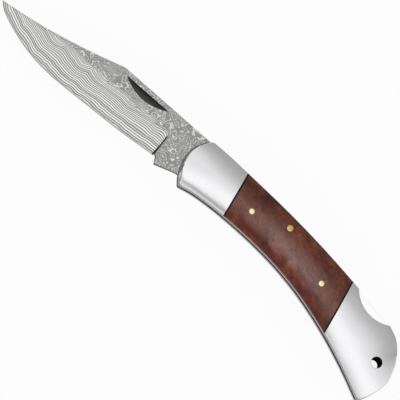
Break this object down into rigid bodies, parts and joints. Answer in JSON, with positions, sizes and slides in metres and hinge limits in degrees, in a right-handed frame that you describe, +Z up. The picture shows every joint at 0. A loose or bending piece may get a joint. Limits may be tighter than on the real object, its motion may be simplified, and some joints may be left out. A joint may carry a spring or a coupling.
{
  "type": "folding pocket knife",
  "caption": "Folding lock-back pocket knife, open: clip-point blade on a pivot, steel bolsters and liners, wood scales, rocking lock bar in the spine and a lanyard hole.",
  "frame": {"origin": "middle of the knife's length and width, at the underside of the far scale that it lies on", "axes": "+X from the blade's tip to the butt, +Y to the spine, +Z up through the near side with the nail nick"},
  "size_m": [0.2002, 0.0372, 0.0114],
  "materials": {
    "patterned_steel": "etched pattern",
    "bolster_steel": "polished",
    "liner_steel": "satin",
    "lock_steel": "satin",
    "burl_wood": "oiled and polished",
    "black_fibre": "matt",
    "brass": "polished"
  },
  "bodies": {
    "handle": {"liner_near": "liner_steel", "liner_far": "liner_steel", "front_bolster_near": "bolster_steel", "front_bolster_far": "bolster_steel", "rear_bolster_near": "bolster_steel", "rear_bolster_far": "bolster_steel", "scale_near": "burl_wood", "scale_far": "burl_wood", "fibre_spacer_front_near": "black_fibre", "fibre_spacer_front_far": "black_fibre", "fibre_spacer_rear_near": "black_fibre", "fibre_spacer_rear_far": "black_fibre", "scale_pin_front_near": "brass", "scale_pin_front_far": "brass", "scale_pin_rear_near": "brass", "scale_pin_rear_far": "brass", "butt_spacer": "liner_steel", "butt_rivet_upper": "liner_steel", "butt_rivet_lower": "liner_steel", "lock_spring": "lock_steel", "lock_bar_pin": "brass", "pivot_pin": "liner_steel", "pivot_washer_near": "brass", "pivot_washer_far": "brass"},
    "blade": {"blade": "patterned_steel"},
    "lock_bar": {"lock_bar": "lock_steel"}
  },
  "joints": [
    {"name": "blade_pivot", "type": "hinge", "parent": "handle", "child": "blade", "pos_m": [-0.0051, 0.00761, 0.0057], "axis": [0, 0, 1], "range_deg": [0, 171]},
    {"name": "lock_rocker", "type": "hinge", "parent": "handle", "child": "lock_bar", "pos_m": [0.0356, 0.01291, 0.0057], "axis": [0, 0, -1], "range_deg": [-1.3, 1.7], "stiffness_Nm_per_rad": 0.5}
  ]
}
